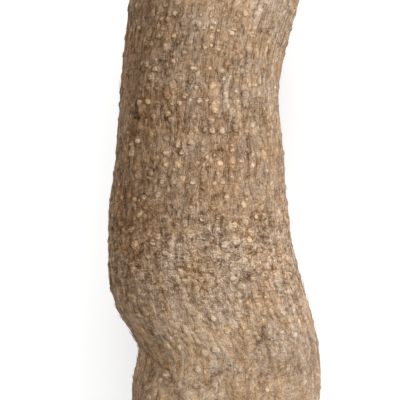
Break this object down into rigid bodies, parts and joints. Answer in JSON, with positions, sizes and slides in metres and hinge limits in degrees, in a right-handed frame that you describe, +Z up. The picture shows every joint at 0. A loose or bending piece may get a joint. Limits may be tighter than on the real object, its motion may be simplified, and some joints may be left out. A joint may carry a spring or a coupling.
{
  "type": "yam tuber",
  "caption": "Whole yam tuber lying on its side: a long, slightly bent body with blunt ends, brown corky skin, scattered root scars and a fold above its tail lobe.",
  "frame": {"origin": "on the surface the tuber rests on, under the middle of its overall box", "axes": "+Y along the tuber from its blunt tail to its stem end, +Z up, +X towards the flank that is full beside the tail"},
  "size_m": [0.1162, 0.359, 0.0953],
  "materials": {
    "skin": "dry, matte corky bark in mottled browns, with fine fibres, pale root scars and darker cracks"
  },
  "bodies": {
    "root": {"yam_tuber": "skin"}
  },
  "joints": []
}
